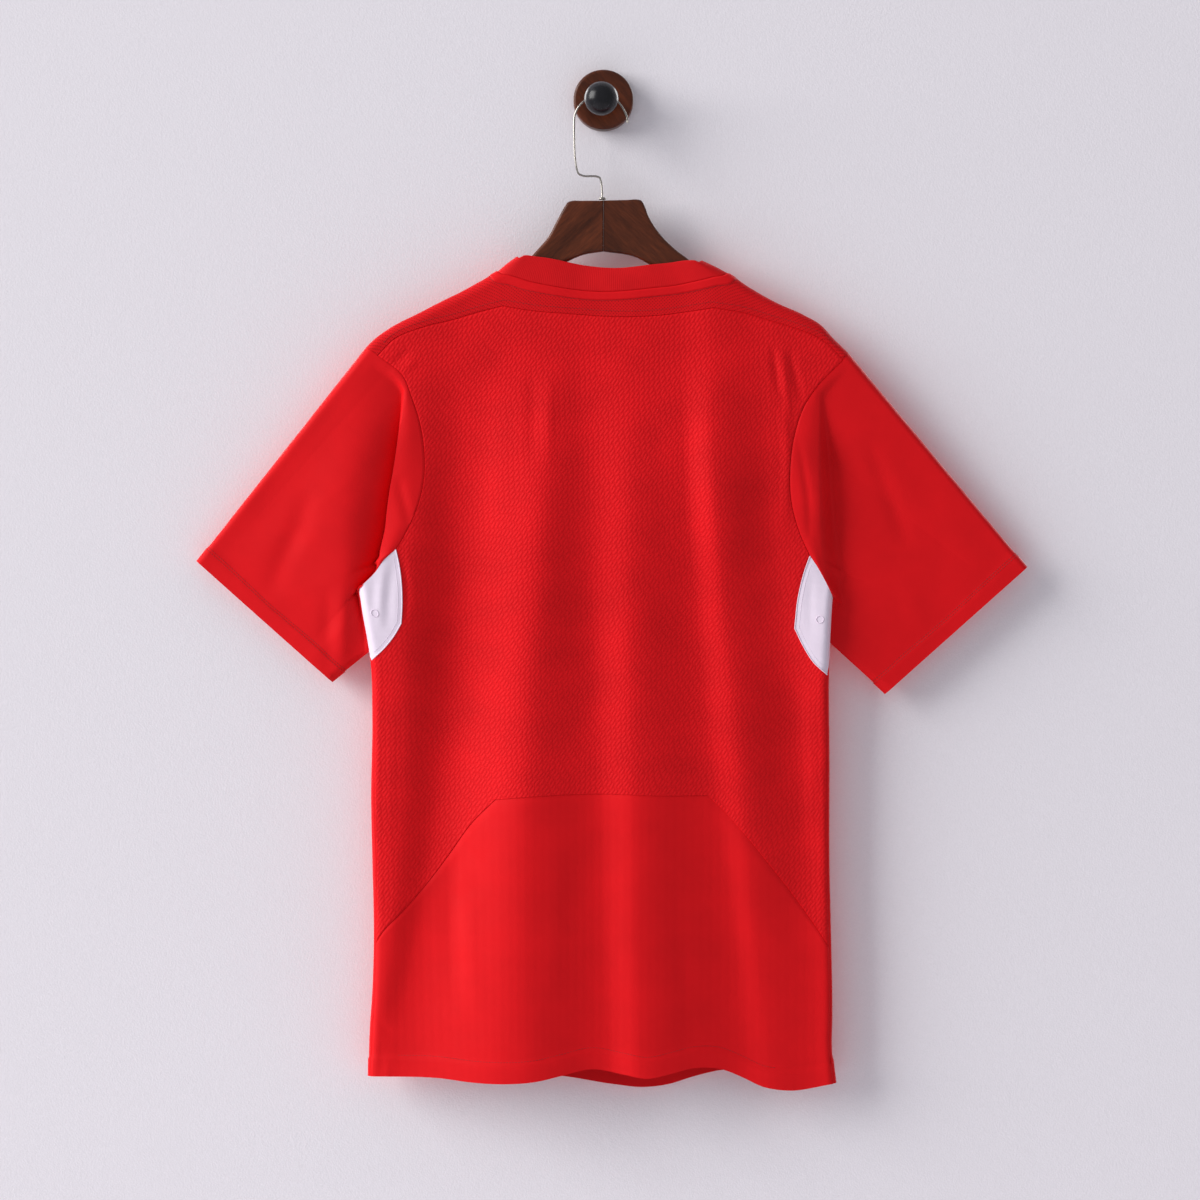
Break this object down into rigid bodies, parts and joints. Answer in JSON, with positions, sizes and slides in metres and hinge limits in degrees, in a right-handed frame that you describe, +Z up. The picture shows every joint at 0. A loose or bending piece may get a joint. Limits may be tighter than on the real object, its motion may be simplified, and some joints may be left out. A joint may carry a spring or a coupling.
{
  "type": "football jersey with its hanger and wall hook",
  "caption": "Short-sleeved football jersey on a wooden hanger, hung from a round wall peg with its back to the room: mesh yoke, ribbed collar, pale underarm gussets and a lower back panel.",
  "frame": {"origin": "Centre of the peg disc's flat back, on the wall.", "axes": "+Y points into the wall, so the jersey's back looks along -Y. +Z is up and +X is to the right of someone who faces the wall."},
  "size_m": [0.7351, 0.057, 0.9038],
  "materials": {
    "red_knit": "satiny red polyester knit",
    "red_mesh": "red knit with fine mesh holes",
    "red_rib": "fine red rib knit",
    "white_knit": "smooth off-white knit",
    "walnut": "dark walnut, satin lacquer",
    "nickel": "bright nickel plating",
    "black_gloss": "glossy black"
  },
  "bodies": {
    "root": {"back_upper": "red_knit", "back_lower": "red_knit", "front_panel": "red_knit", "yoke": "red_mesh", "collar": "red_rib", "sleeve_left": "red_knit", "sleeve_right": "red_knit", "gusset_left": "white_knit", "gusset_right": "white_knit", "hanger_left": "walnut", "hanger_right": "walnut", "hanger_hook": "nickel", "hanger_ferrule": "nickel", "peg_disc": "walnut", "peg_post": "black_gloss", "peg_ball": "black_gloss"}
  },
  "joints": []
}
